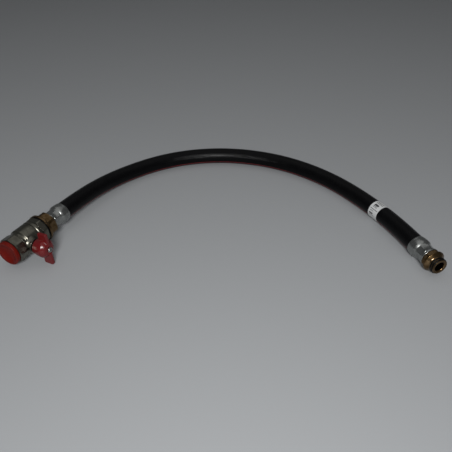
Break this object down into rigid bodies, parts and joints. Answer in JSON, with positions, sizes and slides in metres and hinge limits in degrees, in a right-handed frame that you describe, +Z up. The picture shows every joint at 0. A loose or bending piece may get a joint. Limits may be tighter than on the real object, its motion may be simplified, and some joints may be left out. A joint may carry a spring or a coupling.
{
  "type": "flexible heating hose with ball valve",
  "caption": "Flexible rubber hose bent in a wide bow, with crimped metal ends, a ball valve with a T-handle and a thread plug at one end and a sealed plug-in spigot at the other.",
  "frame": {"origin": "centre of the bottom of the box round the two ends, on the surface that the hose lies on; the rubber hose and its label are left out of that box", "axes": "+X from the valve end to the spigot end, +Y towards the crown of the bow, +Z up"},
  "size_m": [0.6123, 0.3324, 0.0511],
  "materials": {
    "hose_rubber": "black, slightly glossy, with the fine imprint of a cloth wrap and one thin dark red line",
    "label_paper": "white label",
    "ferrule_steel": "bright zinc plated",
    "nipple_brass": "bright turned brass",
    "valve_nickel": "nickel-plated brass, satin on the forged faces and bright where turned",
    "ball_chrome": "chrome-plated brass, polished",
    "seat_plastic": "white seat plastic",
    "seal_rubber": "black seal rubber",
    "handle_red": "glossy red",
    "plug_red": "satin red"
  },
  "bodies": {
    "hose_set": {"hose": "hose_rubber", "hose_label": "label_paper", "left_ferrule": "ferrule_steel", "right_ferrule": "ferrule_steel", "left_nipple": "nipple_brass", "right_nipple": "nipple_brass", "nipple_gasket": "seal_rubber", "valve_body": "valve_nickel", "valve_tail": "valve_nickel", "seat_ring_mouth_side": "seat_plastic", "seat_ring_hose_side": "seat_plastic", "stem_packing": "seat_plastic", "gland_nut": "nipple_brass", "o_ring_front": "seal_rubber", "o_ring_rear": "seal_rubber"},
    "valve_handle": {"ball": "ball_chrome", "stem": "nipple_brass", "handle": "handle_red", "handle_screw": "ferrule_steel"},
    "thread_plug": {"thread_plug": "plug_red"}
  },
  "joints": [
    {"name": "handle_turn", "type": "hinge", "parent": "hose_set", "child": "valve_handle", "pos_m": [-0.27679, -0.01537, 0.0245], "axis": [0.9023, -0.4303, 0.0262], "range_deg": [0, 90]},
    {"name": "plug_pull", "type": "slide", "parent": "hose_set", "child": "thread_plug", "axis": [-0.4305, -0.9026, 0], "range_m": [0, 0.03]}
  ]
}
